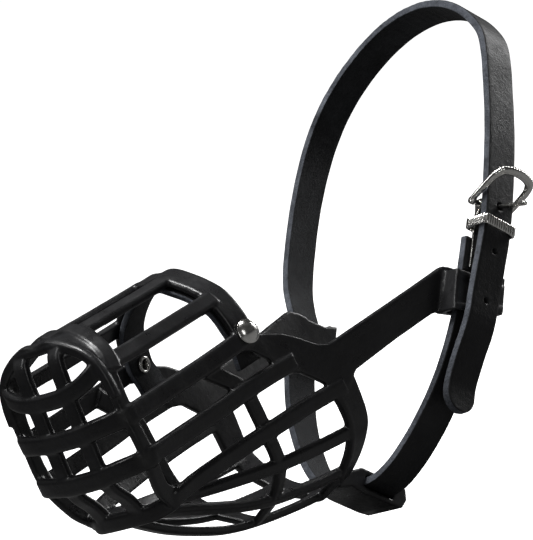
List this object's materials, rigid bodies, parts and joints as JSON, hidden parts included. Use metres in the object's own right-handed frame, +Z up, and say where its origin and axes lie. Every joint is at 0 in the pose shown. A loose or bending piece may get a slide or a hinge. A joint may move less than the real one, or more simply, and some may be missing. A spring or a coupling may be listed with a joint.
{
  "type": "basket muzzle",
  "caption": "Moulded basket dog muzzle with a leather neck strap, wire buckle, strap keeper and a riveted leather nose pad.",
  "frame": {"origin": "centre of the snout opening, at the middle of the basket's open rear end", "axes": "as worn: nose to -Y, +Y out of the opening towards the neck, +Z up, +X the wearer's left"},
  "size_m": [0.1244, 0.269, 0.1581],
  "materials": {
    "black_plastic": "satin moulded",
    "pad_leather": "matt, raw cut edges",
    "black_leather": "finished grain outside, raw flesh side and cut edges",
    "nickel": "bright nickel plate"
  },
  "bodies": {
    "basket_body": {"basket": "black_plastic", "nose_pad": "pad_leather", "rivet_cap_left": "nickel", "rivet_cap_right": "nickel", "rivet_eyelet_left": "nickel", "rivet_eyelet_right": "nickel", "chin_strap": "black_leather"},
    "nape_body": {"nape_strap": "black_leather", "strap_end": "black_leather", "buckle_chape": "nickel", "chape_rivet": "nickel"},
    "tail_body": {"strap_tail": "black_leather"},
    "frame_body": {"buckle_frame": "nickel"},
    "prong_body": {"buckle_prong": "nickel"},
    "keeper_body": {"strap_keeper": "nickel"}
  },
  "joints": [
    {"name": "nape_swing", "type": "hinge", "parent": "basket_body", "child": "nape_body", "pos_m": [0, 0.065, -0.0072], "axis": [1, 0, 0], "range_deg": [-12, 12], "stiffness_Nm_per_rad": 0.3},
    {"name": "tail_lift", "type": "hinge", "parent": "nape_body", "child": "tail_body", "pos_m": [0.054, 0.07801, 0.00581], "axis": [0, -0.7071, 0.7071], "range_deg": [0, 25], "stiffness_Nm_per_rad": 0.02},
    {"name": "buckle_swing", "type": "hinge", "parent": "nape_body", "child": "frame_body", "pos_m": [0.049, 0.08749, 0.01529], "axis": [0, -0.7071, 0.7071], "range_deg": [-26, 15]},
    {"name": "prong_swing", "type": "hinge", "parent": "nape_body", "child": "prong_body", "pos_m": [0.049, 0.08749, 0.01529], "axis": [0, -0.7071, 0.7071], "range_deg": [-4, 4]},
    {"name": "keeper_slide", "type": "slide", "parent": "nape_body", "child": "keeper_body", "axis": [0, 0.7071, 0.7071], "range_m": [-0.002, 0.003]}
  ]
}
